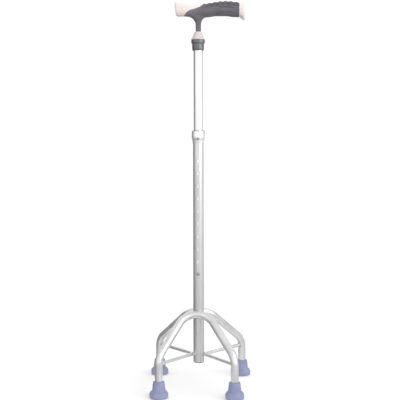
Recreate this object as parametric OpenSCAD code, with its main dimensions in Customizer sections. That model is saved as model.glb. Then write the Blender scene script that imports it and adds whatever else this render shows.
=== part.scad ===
// Quad walking cane: a telescoping pole with an offset ergonomic handle on a welded four-legged base.
// Units are millimetres, +Z up, the floor at Z = 0, the pole on the Z axis and the front of the base on -Y.
// The cane stands at its lowest height setting with the snap button in the lowest hole.

/* [Height setting] */
// Height of the lowest adjustment hole above the floor
hole_z = 231.5; // [200:1:260]
// Spacing of the adjustment holes
hole_pitch = 25.4; // [20:0.1:30]
// Number of adjustment holes
hole_count = 10; // [4:1:12]
// Diameter of each adjustment hole
hole_d = 7; // [5:0.5:9]

/* [Pole] */
// Outer diameter of the lower tube
lower_d = 22.2; // [20:0.1:28]
// Wall of the lower tube
lower_wall = 1.3; // [1:0.1:2]
// Outer diameter of the upper tube
upper_d = 19; // [16:0.1:22]
// Wall of the upper tube
upper_wall = 1.2; // [1:0.1:2]
// Height of the lower end of the pole
pole_foot_z = 49.2; // [40:0.1:80]
// Height of the top end of the lower tube
lower_top_z = 509; // [480:1:520]
// Lower end of the upper tube
upper_foot_z = 196.5; // [180:1:200]
// Top end of the upper tube
upper_top_z = 699; // [680:1:720]
// Outer diameter of the guide collar
collar_d = 27.4; // [25:0.2:32]

/* [Base] */
// Diameter of the leg tubes
leg_d = 15.5; // [12:0.5:20]
// Wall of the leg tubes
leg_wall = 1.2; // [1:0.1:2]
// Height of both hoops where they cross the pole
hoop_z = 150.3; // [120:0.1:180]
// How far the crown bend of the front hoop stands off to the left
front_crown_left = 5; // [0:0.5:8]
// Half the distance between the front feet
front_half_x = 74; // [60:0.1:120]
// Half the distance between the rear feet
rear_half_x = 88.4; // [60:0.1:130]
// Distance of the feet in front of and behind the pole
foot_y = 87; // [60:1:120]
// Height of the front knee corner
front_knee_z = 79; // [60:0.1:110]
// Height of the rear knee corner
rear_knee_z = 77; // [60:0.1:110]
// Bend radius at the top of the front hoop
front_bend_r = 38; // [30:1:60]
// Bend radius at the top of the rear hoop
rear_bend_r = 38; // [30:1:60]
// Bend radius at the knees
knee_r = 32; // [20:1:40]
// Diameter of the brace rods
rod_d = 7; // [4:0.5:10]
// Height of the brace rods
rod_z = 65.5; // [50:0.5:80]

/* [Rubber feet] */
// Height of a rubber foot
foot_h = 32; // [25:1:45]
// Diameter of a foot on the floor flange
foot_d = 36.8; // [30:0.2:50]
// Diameter of a foot at its top
foot_neck_d = 22.4; // [18:0.2:30]

/* [Handle] */
// Left end of the handle
handle_x0 = -46.8; // [-60:0.2:-30]
// Joint between grip and end cap
handle_x1 = 82.6; // [60:0.2:100]
// Right end of the handle
handle_x2 = 93.6; // [70:0.2:110]
// Lowest point of the top of the handle
saddle_z = 770.8; // [760:1:790]
// Height of the underside of the handle
under_z = 745.9; // [740:0.2:755]
// Half the width of the handle
handle_w = 14.5; // [10:0.5:20]
// Height of the finger ridges
ridge_h = 1.6; // [0:0.1:3]
// Spacing of the finger ridges
ridge_pitch = 10.85; // [8:0.05:14]

/* [Hidden] */
$fn = 64;
fit = 0.05;
pole_r = lower_d / 2;
bore_r = pole_r - lower_wall;
leg_r = leg_d / 2;
rod_r = rod_d / 2;
hoop_y = pole_r + leg_r - 0.6;
tip_floor = 8;
washer_h = 1.5;
leg_foot_z = tip_floor + washer_h;
steel = [0.78, 0.78, 0.8];
cream = [0.95, 0.91, 0.86];
dark = [0.38, 0.38, 0.42];
rubber = [0.6, 0.62, 0.76];

// ---- swept tube ----
function unit(v) = v / norm(v);

// Joins a list of rings into a closed solid.
module skin(rings) {
  m = len(rings[0]);
  n = len(rings);
  polyhedron(
    points = [for (r = rings) each r],
    faces = concat(
      [[for (i = [0:m - 1]) i]],
      [for (k = [0:n - 2], i = [0:m - 1]) each [
        [k * m + i, (k + 1) * m + i, (k + 1) * m + (i + 1) % m],
        [k * m + i, (k + 1) * m + (i + 1) % m, k * m + (i + 1) % m]
      ]],
      [[for (i = [m - 1:-1:0]) (n - 1) * m + i]]
    )
  );
}

// The bend at b of a path from a to c, as [point, direction] pairs about every 7 degrees.
function bend_stations(a, b, c, r) =
  let (
    u = unit(a - b),
    v = unit(c - b),
    half = acos(u * v) / 2,
    centre = b + unit(u + v) * r / sin(half),
    out = unit(b + u * r / tan(half) - centre),
    turn = 180 - 2 * half,
    n = ceil(turn / 7)
  )
  [for (i = [0:n])
    let (t = turn * i / n)
    [centre + r * (out * cos(t) - u * sin(t)), -u * cos(t) - out * sin(t)]];

// A path with one bend radius for each inner point, run on past both its ends by more.
function stations(points, radii, more) =
  let (
    n = len(points),
    first = unit(points[1] - points[0]),
    last = unit(points[n - 1] - points[n - 2])
  )
  concat(
    [[points[0] - first * more, first]],
    [for (i = [1:n - 2]) each bend_stations(points[i - 1], points[i], points[i + 1], radii[i - 1])],
    [[points[n - 1] + last * more, last]]
  );

// A ring of points across a path, with up never along the path.
function across(station, r, up, n) =
  let (x = unit(cross(up, station[1])), y = cross(station[1], x))
  [for (i = [0:n - 1]) let (t = 360 * (i + 0.5) / n) station[0] + r * (x * cos(t) + y * sin(t))];

module sweep(path, r, up, n) {
  skin([for (k = path) across(k, r, up, n)]);
}

// ---- leg hoops ----
// The hoop leaves the pole in a plane that leans outwards to its knees.
// The corner of the top bend stands above the hoop, on the line through the pole's side.
function top_corner(top, knee, r) =
  let (
    w = unit([0, knee.y - top.y, knee.z - top.z]),
    kx = knee.x,
    kw = norm([0, knee.y - top.y, knee.z - top.z]),
    half = acos(r / norm([kx, kw - r])) - atan2(kw - r, kx)
  )
  top - w * (r / sin(half) - r);

// side is -1 for the front hoop or 1 for the rear one.
function hoop_path(side) =
  let (
    front = side < 0,
    half_x = front ? front_half_x : rear_half_x,
    knee = [half_x, side * foot_y, front ? front_knee_z : rear_knee_z],
    crown = top_corner([0, side * hoop_y, hoop_z], knee, front ? front_bend_r : rear_bend_r)
  )
  [
    [-half_x, side * foot_y, leg_foot_z],
    [-half_x, side * foot_y, knee.z],
    crown - [front ? front_crown_left : 0, 0, 0],
    knee,
    [half_x, side * foot_y, leg_foot_z]
  ];

function hoop_stations(side, more) =
  stations(hoop_path(side), [knee_r, side < 0 ? front_bend_r : rear_bend_r, knee_r], more);
leg_sides = 32;
bore_sides = 20;

module hoop(side) {
  up = [0, side, 1];
  color(steel)
  difference() {
    sweep(hoop_stations(side, 0), leg_r, up, leg_sides);
    sweep(hoop_stations(side, 1), leg_r - leg_wall, up, bore_sides);
    pole_bar(pole_r, hoop_z - 30, hoop_z + 30);
  }
}

// One leg of a hoop up to its knee, as a solid bar. way is -1 for the left leg or 1 for the right one.
module leg_bar(side, way, gap) {
  sweep([for (k = hoop_stations(side, 0)) if (k[0].x * way > 48) k], leg_r + gap, [0, side, 1], leg_sides);
}

module pole_bar(r, z0, z1) {
  translate([0, 0, z0])
  cylinder(r = r, h = z1 - z0);
}

module leg_hoop_front() {
  hoop(-1);
}

module leg_hoop_rear() {
  hoop(1);
}

// ---- braces ----
rod_bend_r = 12;
rod_rest_x = pole_r + rod_r - 0.5;

// A brace runs from the front leg past the side of the pole to the rear leg.
function brace_path(side) =
  let (
    a = [side * front_half_x, -foot_y, rod_z],
    c = [side * rear_half_x, foot_y, rod_z],
    m = [side * rod_rest_x, 0, rod_z],
    half = acos(unit(a - m) * unit(c - m)) / 2
  )
  [a, m - [side * rod_bend_r * (1 / sin(half) - 1), 0, 0], c];

module brace(side) {
  color(steel)
  difference() {
    sweep(stations(brace_path(side), [rod_bend_r], 0), rod_r, [0, 0, 1], 20);
    pole_bar(pole_r, rod_z - 15, rod_z + 15);
    leg_bar(-1, side, 0);
    leg_bar(1, side, 0);
  }
}

module brace_left() {
  brace(-1);
}

module brace_right() {
  brace(1);
}

// ---- welds ----
// A bead fills the corner between two round bars and stands clear of them by this much.
weld_gap = 0.16;

module hoop_weld(side) {
  $fn = 32;
  path = hoop_stations(side, 0);
  color(steel)
  difference() {
    translate([0, side * (hoop_y - leg_r + 0.3), hoop_z])
    sphere(r = 6.4);
    pole_bar(pole_r + weld_gap, hoop_z - 12, hoop_z + 12);
    sweep([for (k = path) if (abs(k[0].x) < 24) k], leg_r + weld_gap, [0, side, 1], leg_sides);
  }
}

module weld_hoop_front() {
  hoop_weld(-1);
}

module weld_hoop_rear() {
  hoop_weld(1);
}

// The bead where the left rod meets the front leg, side -1, or the rear one.
module rod_end_weld(side) {
  leg = [-(side < 0 ? front_half_x : rear_half_x), side * foot_y, rod_z];
  way = unit(brace_path(-1)[1] - leg);
  difference() {
    translate(leg + way * leg_r)
    sphere(r = 5);
    leg_bar(side, -1, weld_gap);
    sweep([[leg, way], [leg + way * 20, way]], rod_r + weld_gap, [0, 0, 1], 20);
  }
}

module left_brace_welds() {
  $fn = 32;
  path = stations(brace_path(-1), [rod_bend_r], 0);
  color(steel) {
    difference() {
      translate([-pole_r - 0.2, 0, rod_z])
      sphere(r = 5.2);
      pole_bar(pole_r + weld_gap, rod_z - 8, rod_z + 8);
      sweep([for (k = path) if (abs(k[0].y) < 14) k], rod_r + weld_gap, [0, 0, 1], 20);
    }
    rod_end_weld(-1);
    rod_end_weld(1);
  }
}

module weld_brace_left() {
  left_brace_welds();
}

module weld_brace_right() {
  mirror([1, 0, 0])
  left_brace_welds();
}

// ---- rubber feet ----
function arc(cx, cz, r, a0, a1, n) =
  [for (i = [0:n]) [cx + r * cos(a0 + (a1 - a0) * i / n), cz + r * sin(a0 + (a1 - a0) * i / n)]];

function foot_profile() =
  let (neck = foot_neck_d / 2, rim = foot_d / 2)
  concat(
    [[0, 1], [6, 1], [6.6, 0], [10, 0], [10.6, 1], [12, 1], [12.6, 0]],
    arc(rim - 2.4, 2.4, 2.4, -90, 0, 4),
    arc(rim - 5, 7.6, 5, 0, 65, 4),
    [[neck + 1.75, 15.6], [neck + 0.9, 23], [neck + 0.1, 29.5]],
    arc(neck - 0.9, foot_h - 1, 1, 0, 90, 2),
    [[leg_r + fit, foot_h], [leg_r + fit, tip_floor], [0, tip_floor]]
  );

module foot(x, y) {
  color(rubber)
  translate([x, y, 0])
  rotate_extrude()
  polygon(foot_profile());
}

module foot_front_left() {
  foot(-front_half_x, -foot_y);
}

module foot_front_right() {
  foot(front_half_x, -foot_y);
}

module foot_rear_left() {
  foot(-rear_half_x, foot_y);
}

module foot_rear_right() {
  foot(rear_half_x, foot_y);
}

module washer(x, y) {
  color(steel)
  translate([x, y, tip_floor])
  difference() {
    cylinder(r = leg_r - 0.1, h = washer_h);
    translate([0, 0, -1])
    cylinder(r = 3, h = washer_h + 2);
  }
}

module foot_washer_front_left() {
  washer(-front_half_x, -foot_y);
}

module foot_washer_front_right() {
  washer(front_half_x, -foot_y);
}

module foot_washer_rear_left() {
  washer(-rear_half_x, foot_y);
}

module foot_washer_rear_right() {
  washer(rear_half_x, foot_y);
}

// ---- lower tube ----
// A drill across the front wall of the pole only.
module front_drill(r, z) {
  translate([0, 0, z])
  rotate([90, 0, 0])
  cylinder(r = r, h = 30);
}

collar_low_z = 496;
collar_top_z = 519.6;
collar_screw_z = 504.2;
bush_r = 12.2;

module lower_tube() {
  color(steel)
  difference() {
    pole_bar(pole_r, pole_foot_z + 1.5, lower_top_z);
    pole_bar(bore_r, pole_foot_z, lower_top_z + 1);
    for (i = [0:hole_count - 1]) {
      front_drill(hole_d / 2, hole_z + hole_pitch * i);
    }
    front_drill(1.5, collar_screw_z);
  }
}

module lower_tube_plug() {
  r = pole_r - 0.4;
  color(dark)
  translate([0, 0, pole_foot_z])
  rotate_extrude()
  polygon(concat(
    [[0, -0.9], [r - 2.4, -0.6]],
    arc(r - 1.6, 1, 1.6, -80, 0, 4),
    [[r, 1.5], [bore_r - fit, 1.5], [bore_r - fit, 14], [bore_r - 1, 15]],
    [[bore_r - 2, 15], [bore_r - 2, 3], [0, 3]]
  ));
}

module guide_collar() {
  color([0.86, 0.86, 0.87])
  difference() {
    union() {
      translate([0, 0, collar_low_z])
      cylinder(r1 = pole_r + 0.7, r2 = collar_d / 2, h = 10);
      pole_bar(collar_d / 2, collar_low_z + 10, collar_top_z);
    }
    pole_bar(pole_r + fit, collar_low_z - 1, lower_top_z);
    pole_bar(bush_r + fit, lower_top_z, collar_top_z + 1);
    front_drill(1.5, collar_screw_z);
    translate([0, -pole_r - 0.9, collar_screw_z])
    rotate([90, 0, 0])
    cylinder(r = 2.3, h = 10);
  }
}

module guide_bush() {
  color(dark)
  difference() {
    union() {
      pole_bar(bush_r, lower_top_z, collar_top_z);
      pole_bar(collar_d / 2 - 0.5, collar_top_z, collar_top_z + 1.1);
    }
    pole_bar(upper_d / 2 + 0.08, lower_top_z - 1, collar_top_z + 2);
  }
}

module guide_collar_screw() {
  color([0.45, 0.45, 0.47])
  translate([0, 0, collar_screw_z])
  rotate([90, 0, 0])
  difference() {
    union() {
      translate([0, 0, bore_r + 0.2])
      cylinder(r = 1.45, h = pole_r + 1.4 - bore_r);
      translate([0, 0, pole_r + 0.95])
      cylinder(r = 2.2, h = 1.6);
    }
    translate([-0.3, -3, pole_r + 1.95])
    cube([0.6, 6, 2]);
  }
}

// ---- upper tube ----
upper_r = upper_d / 2;
upper_bore_r = upper_r - upper_wall;

module upper_tube() {
  color([0.9, 0.9, 0.91])
  difference() {
    pole_bar(upper_r, upper_foot_z, upper_top_z);
    pole_bar(upper_bore_r, upper_foot_z - 1, upper_top_z + 1);
    front_drill(hole_d / 2, hole_z);
    neck_pin_hole();
  }
}

module upper_tube_glide() {
  r = bore_r - 0.07;
  color(dark)
  difference() {
    union() {
      pole_bar(r, upper_foot_z - 6, upper_foot_z);
      pole_bar(upper_bore_r - fit, upper_foot_z - 1, upper_foot_z + 11);
    }
    pole_bar(upper_bore_r - 2, upper_foot_z - 7, upper_foot_z + 12);
  }
}

spring_front = -5.5;
spring_rear = 7.1;
spring_t = 0.8;
spring_w = 8;

// A bent strip with its closed end below the button.
module snap_spring() {
  mid = (spring_front + spring_rear) / 2;
  turn = (spring_rear - spring_front) / 2;
  low = hole_z - 12;
  color(steel)
  difference() {
    translate([-spring_w / 2, 0, 0])
    rotate([90, 0, 90])
    linear_extrude(spring_w)
    union() {
      difference() {
        translate([mid, low])
        circle(r = turn);
        translate([mid, low])
        circle(r = turn - spring_t);
        translate([mid - 20, low])
        square([40, 20]);
      }
      translate([spring_front, low])
      square([spring_t, 24]);
      translate([spring_rear - spring_t, low])
      square([spring_t, 20]);
    }
    front_drill(1.3, hole_z);
  }
}

// A domed pin with a shoulder that stops against the inside of the upper tube.
module snap_button() {
  r = hole_d / 2 - 0.075;
  tip = pole_r + 3.4;
  color(steel)
  translate([0, 0, hole_z])
  rotate([90, 0, 0])
  rotate_extrude()
  polygon(concat(
    [[0, 3.7], [1.25, 3.7], [1.25, 5.5], [4.6, 5.5], [4.6, 6.5], [r, 6.5], [r, tip - 2]],
    arc(r - 2, tip - 2, 2, 15, 75, 3),
    [[0, tip]]
  ));
}

// ---- neck ----
neck_low_z = 680;
neck_flange_z = 694.4;
cone_low_z = 701.7;
cone_top_z = 717.6;
neck_pin_z = 687.4;
neck_pin_r = 1.5;
pin_hole_r = neck_pin_r + 0.05;
core_r = 4;
core_foot_z = 677;

module neck_pin_hole() {
  translate([-20, 0, neck_pin_z])
  rotate([0, 90, 0])
  cylinder(r = pin_hole_r, h = 40);
}

module neck_plug() {
  color([0.55, 0.55, 0.57])
  difference() {
    pole_bar(upper_bore_r - fit, core_foot_z - 6, upper_top_z);
    pole_bar(core_r + 0.02, core_foot_z, upper_top_z + 1);
    neck_pin_hole();
  }
}

module neck_collar() {
  color(dark)
  difference() {
    union() {
      translate([0, 0, neck_low_z])
      cylinder(r1 = 11.7, r2 = 12.3, h = neck_flange_z - neck_low_z);
      translate([0, 0, neck_flange_z])
      cylinder(r = 14.1, h = cone_low_z - neck_flange_z);
    }
    pole_bar(upper_r + fit, neck_low_z - 1, upper_top_z);
    pole_bar(core_r + fit, upper_top_z - 1, cone_low_z + 1);
    neck_pin_hole();
  }
}

module neck_pin() {
  color(steel)
  translate([-12, 0, neck_pin_z])
  rotate([0, 90, 0])
  cylinder(r = neck_pin_r, h = 24);
}

module neck_cone() {
  color(cream)
  difference() {
    translate([0, 0, cone_low_z])
    cylinder(r1 = 14.2, r2 = 7, h = cone_top_z - cone_low_z);
    pole_bar(core_r + fit, cone_low_z - 1, cone_top_z + 1);
  }
}

// ---- handle ----
// The core is a steel stem with a bar welded across its top.
core_z = 760.5;
core_bar_h = 8;

module core_shape(gap) {
  pole_bar(core_r + gap, core_foot_z, core_z);
  translate([handle_x0 + 16 - gap, -4 - gap, core_z - core_bar_h / 2 - gap])
  cube([handle_x2 - handle_x0 - 28 + 2 * gap, 8 + 2 * gap, core_bar_h + 2 * gap]);
}

module handle_core() {
  color([0.55, 0.55, 0.57])
  difference() {
    core_shape(0);
    neck_pin_hole();
  }
}

function smooth(t) = let (u = min(1, max(0, t))) u * u * (3 - 2 * u);

// Seven finger ridges run along the top of the grip.
ridge_count = 7;
first_ridge_x = 11.9;
function ridge(x) =
  let (k = (x - first_ridge_x) / ridge_pitch)
  k < -0.5 || k > ridge_count - 0.5 ? 0 : ridge_h * (0.5 + 0.5 * cos(360 * k));

// The top dips at the saddle and rises to both ends.
function top_line(x) =
  x < 3
    ? saddle_z + 6.7 * pow((3 - x) / (3 - handle_x0), 1.6)
    : saddle_z + 5.3 * pow(sin(90 * (x - 3) / 52), 2);

// The underside is higher below the palm and the fingers, and turns down into the end cap's lip.
function under_line(x) =
  let (
    palm_rise = 2.1 * smooth((-6 - x) / 20),
    finger_rise = 2.2 * exp(-pow((x - 48) / 18.5, 4)),
    lip = 6.8 * smooth((x - handle_x1 + 2) / 12.5)
  )
  under_z + palm_rise + finger_rise - lip;

function half_width(x) =
  handle_w * (0.9 + 0.1 * cos(360 * (x - 45) / 190)) * (1 - 0.12 * smooth((-x - 20) / 30));
function sgn(v) = v < 0 ? -1 : 1;
function rounded(v, n) = sgn(v) * pow(abs(v), 2 / n);

// The left end leans, so that its lower edge stands further in than its upper one.
function lean(x, height) = 2.4 * (1 - height) * smooth((handle_x0 + 22 - x) / 22);

// One cross-section of the handle as a ring of points.
section_n = 28;
function section(x, shrink, ridged) =
  let (
    top = top_line(x) + (ridged ? ridge(x) : 0),
    low = under_line(x),
    mid = (top_line(x) + low) / 2
  )
  [for (i = [0:section_n - 1])
    let (a = 360 * i / section_n, s = rounded(sin(a), 2.7))
    [
      x + lean(x, (s + 1) / 2),
      half_width(x) * shrink * rounded(cos(a), 2.7),
      mid + shrink * s * (s > 0 ? top - mid : mid - low)
    ]];

end_round = 5;
function end_shrink(t) = 0.72 + 0.28 * sqrt(max(0, 1 - pow(1 - min(1, max(0, t)), 2)));
function handle_shrink(x) =
  min(end_shrink((x - handle_x0) / end_round), end_shrink((handle_x2 - x) / end_round));

module handle_shape(x0, x1, step, ridged) {
  n = ceil((x1 - x0) / step);
  skin([for (k = [0:n]) let (x = x0 + (x1 - x0) * k / n) section(x, handle_shrink(x), ridged)]);
}

// The seam between palm block and grip climbs from the underside to the saddle.
function bezier(t, a, b, c, d) =
  pow(1 - t, 3) * a + 3 * pow(1 - t, 2) * t * b + 3 * (1 - t) * t * t * c + pow(t, 3) * d;
function seam() =
  [for (k = [0:14]) bezier(k / 14, [-30.9, 741], [-16.6, 771.4], [-4.4, 750.2], [17.5, 778])];

module palm_side(x_far) {
  translate([0, 30, 0])
  rotate([90, 0, 0])
  linear_extrude(60)
  polygon(concat([[x_far, 778]], [[x_far, 741]], seam()));
}

module handle_palm_block() {
  color(cream)
  difference() {
    intersection() {
      handle_shape(handle_x0, 14, 3, false);
      palm_side(-70);
    }
    core_shape(0.1);
    side_screw_hole();
  }
}

module side_screw_hole() {
  translate([side_screw.x, -3, side_screw.z])
  rotate([90, 0, 0])
  cylinder(r = 1.85, h = 20);
}

// The stem stands a little to the right of the pole and widens upwards into the grip with hollow curves.
stem_x = 0.6;
stem_half_w = 5.4;
function hollow(z, z0, z1, reach) = reach * (1 - sqrt(1 - pow(min(0.98, max(0, (z - z0) / (z1 - z0))), 2)));
function stem_left(z) = stem_x - stem_half_w - hollow(z, 730, 748, 18);
function stem_right(z) = stem_x + stem_half_w + hollow(z, 731, 747, 13);
function stem_ring(z) =
  let (a = stem_left(z), b = stem_right(z), w = 6.4 + 4.5 * smooth((z - 723) / 30))
  [for (i = [0:section_n - 1])
    let (t = 360 * i / section_n)
    [(a + b) / 2 + (b - a) / 2 * rounded(cos(t), 2.4), w * rounded(sin(t), 2.4), z]];

stem_top_z = 755;
module stem_shape() {
  n = 16;
  skin([for (k = [0:n]) stem_ring(cone_top_z + (stem_top_z - cone_top_z) * k / n)]);
}

module handle_grip() {
  color(dark)
  difference() {
    union() {
      handle_shape(-32, handle_x1, 1.6, true);
      stem_shape();
    }
    palm_side(-70);
    core_shape(0.1);
    end_screw_hole();
  }
}

module end_screw_hole() {
  translate([handle_x1 - 8, 0, core_z])
  rotate([0, 90, 0])
  cylinder(r = 1.55, h = 20);
}

module handle_end_cap() {
  color(cream)
  difference() {
    handle_shape(handle_x1, handle_x2, 1.2, false);
    end_screw_hole();
    translate([handle_x2 - 4, 0, core_z])
    rotate([0, 90, 0])
    cylinder(r = 3.3, h = 20);
  }
}

side_screw = [-27.9, -14, 760.6];

module handle_side_screw() {
  color([0.7, 0.7, 0.72])
  translate([side_screw.x, 0, side_screw.z])
  rotate([90, 0, 0])
  difference() {
    translate([0, 0, 4.2])
    cylinder(r = 1.75, h = 8.4);
    translate([-0.3, -3, 12.1])
    cube([0.6, 6, 2]);
  }
}

module end_cap_screw() {
  color(steel)
  translate([0, 0, core_z])
  rotate([0, 90, 0])
  difference() {
    union() {
      translate([0, 0, handle_x2 - 11.8])
      cylinder(r = 1.5, h = 8);
      translate([0, 0, handle_x2 - 3.9])
      cylinder(r = 3.1, h = 2.2);
    }
    translate([-0.4, -4, handle_x2 - 2.7])
    cube([0.8, 8, 2]);
  }
}

lower_tube();
lower_tube_plug();
guide_collar();
guide_bush();
guide_collar_screw();
leg_hoop_front();
leg_hoop_rear();
brace_left();
brace_right();
weld_hoop_front();
weld_hoop_rear();
weld_brace_left();
weld_brace_right();
foot_front_left();
foot_front_right();
foot_rear_left();
foot_rear_right();
foot_washer_front_left();
foot_washer_front_right();
foot_washer_rear_left();
foot_washer_rear_right();
upper_tube();
upper_tube_glide();
snap_spring();
snap_button();
neck_plug();
neck_collar();
neck_pin();
neck_cone();
handle_core();
handle_palm_block();
handle_grip();
handle_end_cap();
handle_side_screw();
end_cap_screw();
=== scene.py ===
import math

import bmesh
import bpy
import numpy as np
from mathutils import Matrix, Vector


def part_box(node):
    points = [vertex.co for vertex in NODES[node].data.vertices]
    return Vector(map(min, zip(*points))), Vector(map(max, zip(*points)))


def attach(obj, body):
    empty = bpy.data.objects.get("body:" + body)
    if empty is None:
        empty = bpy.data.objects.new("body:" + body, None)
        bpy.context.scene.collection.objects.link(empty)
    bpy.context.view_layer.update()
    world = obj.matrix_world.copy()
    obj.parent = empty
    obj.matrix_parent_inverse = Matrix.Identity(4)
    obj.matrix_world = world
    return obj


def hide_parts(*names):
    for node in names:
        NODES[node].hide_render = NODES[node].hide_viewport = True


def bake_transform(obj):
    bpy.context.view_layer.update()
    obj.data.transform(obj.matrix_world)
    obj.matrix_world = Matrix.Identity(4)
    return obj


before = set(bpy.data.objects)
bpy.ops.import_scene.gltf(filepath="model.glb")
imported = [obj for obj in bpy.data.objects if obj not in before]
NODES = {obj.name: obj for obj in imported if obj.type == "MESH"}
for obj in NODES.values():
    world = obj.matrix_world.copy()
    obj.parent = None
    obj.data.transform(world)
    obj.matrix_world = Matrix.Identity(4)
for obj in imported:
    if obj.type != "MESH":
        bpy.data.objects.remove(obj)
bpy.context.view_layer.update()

MM = 0.001


# ------------------------------------------------------------------ node boxes
def lo(node):
    return np.array(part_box(node)[0])


def hi(node):
    return np.array(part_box(node)[1])


def mid(node):
    return (lo(node) + hi(node)) / 2


# ------------------------------------------------------------------ meshes
def mesh_object(name, verts, faces, material, sharp_deg=38, shade_smooth=True):
    """Edges sharper than sharp_deg stay sharp under smooth shading."""
    mesh = bpy.data.meshes.new(name)
    mesh.from_pydata([tuple(v) for v in verts], [], [tuple(f) for f in faces])
    mesh.update()
    if shade_smooth:
        mesh.polygons.foreach_set("use_smooth", [True] * len(mesh.polygons))
        mesh.set_sharp_from_angle(angle=math.radians(sharp_deg))
    obj = bpy.data.objects.new(name, mesh)
    bpy.context.scene.collection.objects.link(obj)
    mesh.materials.append(material)
    return obj


def add_float(obj, name, values):
    layer = obj.data.attributes.new(name, "FLOAT", "POINT")
    layer.data.foreach_set("value", np.asarray(values, np.float32))


def ring_faces(rows, cols):
    """Quads between closed rings of points."""
    out = []
    for k in range(rows - 1):
        a, b = k * cols, (k + 1) * cols
        out += [(a + i, b + i, b + (i + 1) % cols, a + (i + 1) % cols) for i in range(cols)]
    return out


def loft(rings):
    """Verts and faces of rings joined in turn, with a fan over each end."""
    cols = len(rings[0])
    verts = [p for r in rings for p in r]
    faces = [f[::-1] for f in ring_faces(len(rings), cols)]
    for ring, base, flip in ((rings[0], 0, False), (rings[-1], (len(rings) - 1) * cols, True)):
        centre = len(verts)
        verts.append(np.mean(ring, axis=0))
        for i in range(cols):
            tri = (base + i, base + (i + 1) % cols, centre)
            faces.append(tri if flip else tri[::-1])
    return verts, faces


def lathe(profile, seg=96, centre=(0, 0)):
    """A closed profile of (radius, height) turned about a vertical axis.
    Points on the axis share one vertex."""
    verts, rows = [], []
    for r, z in profile:
        if r < 1e-7:
            rows.append([len(verts)] * seg)
            verts.append((centre[0], centre[1], z))
        else:
            rows.append(list(range(len(verts), len(verts) + seg)))
            for i in range(seg):
                a = 2 * math.pi * i / seg
                verts.append((centre[0] + r * math.cos(a), centre[1] + r * math.sin(a), z))
    faces = []
    n = len(profile)
    for k in range(n):
        a, b = rows[k], rows[(k + 1) % n]
        for i in range(seg):
            j = (i + 1) % seg
            face = []
            for v in (a[i], a[j], b[j], b[i]):
                if v not in face:
                    face.append(v)
            if len(face) > 2:
                faces.append(face)
    return verts, faces


def rounded(corners, steps):
    """The closed (radius, height) outline through corners of (radius, height, rounding)."""
    n = len(corners)
    out = []
    for k in range(n):
        p0, p1, p2 = (np.array(corners[(k + d) % n][:2], float) for d in (-1, 0, 1))
        want = corners[k][2]
        u, v = p0 - p1, p2 - p1
        lu, lv = np.linalg.norm(u), np.linalg.norm(v)
        u, v = u / lu, v / lv
        half = math.acos(max(-1, min(1, float(u @ v)))) / 2
        if want <= 0 or p1[0] < 1e-7 or half > math.radians(88):
            out.append(tuple(p1))
            continue
        cut = min(want / math.tan(half), 0.45 * lu, 0.45 * lv)
        r = cut * math.tan(half)
        c = p1 + (u + v) / np.linalg.norm(u + v) * (r / math.sin(half))
        s, e = p1 + u * cut - c, p1 + v * cut - c
        turn = math.acos(max(-1, min(1, float(s @ e) / (r * r))))
        sign = 1 if s[0] * e[1] - s[1] * e[0] > 0 else -1
        for i in range(steps + 1):
            t = sign * turn * i / steps
            out.append((c[0] + s[0] * math.cos(t) - s[1] * math.sin(t),
                        c[1] + s[0] * math.sin(t) + s[1] * math.cos(t)))
    return out


# ------------------------------------------------------------------ swept tubes
def unit(v):
    v = np.asarray(v, float)
    return v / np.linalg.norm(v)


BEND_STEP_DEG = 3.0
TUBE_SIDES = 48
ROD_SIDES = 24
RIM_ROUND = 0.4 * MM
RIM_STEP = 0.35 * RIM_ROUND


def bend_stations(a, b, c, r):
    """Points and directions round the bend of radius r at b, on the way from a to c."""
    a, b, c = (np.asarray(p, float) for p in (a, b, c))
    u, v = unit(a - b), unit(c - b)
    half = math.acos(float(u @ v)) / 2
    centre = b + unit(u + v) * r / math.sin(half)
    out = unit(b + u * r / math.tan(half) - centre)
    turn = math.pi - 2 * half
    n = max(2, math.ceil(math.degrees(turn) / BEND_STEP_DEG))
    res = []
    for i in range(n + 1):
        t = turn * i / n
        point = centre + r * (out * math.cos(t) - u * math.sin(t))
        res.append((point, -u * math.cos(t) - out * math.sin(t)))
    return res


def stations(points, radii, spacing=6 * MM):
    """Points and directions along a path that bends at its inner points."""
    points = [np.asarray(p, float) for p in points]
    res = [(points[0], unit(points[1] - points[0]))]
    for i in range(1, len(points) - 1):
        res += bend_stations(points[i - 1], points[i], points[i + 1], radii[i - 1])
    res.append((points[-1], unit(points[-1] - points[-2])))
    full = [res[0]]
    for (p, d), (q, e) in zip(res, res[1:]):
        n = int(np.linalg.norm(q - p) / spacing)
        if n > 1 and float(d @ e) > 0.9999:
            full += [(p + (q - p) * k / n, d) for k in range(1, n)]
        full.append((q, e))
    return full


def turns(n):
    """n angles, evenly spaced round a full turn."""
    return [2 * math.pi * i / n for i in range(n)]


def across(p, d, up, r, sides):
    """A circle of points about p, square to the direction d."""
    x = unit(np.cross(up, d))
    y = np.cross(d, x)
    return [p + r * (x * math.cos(t) + y * math.sin(t)) for t in turns(sides)]


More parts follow.
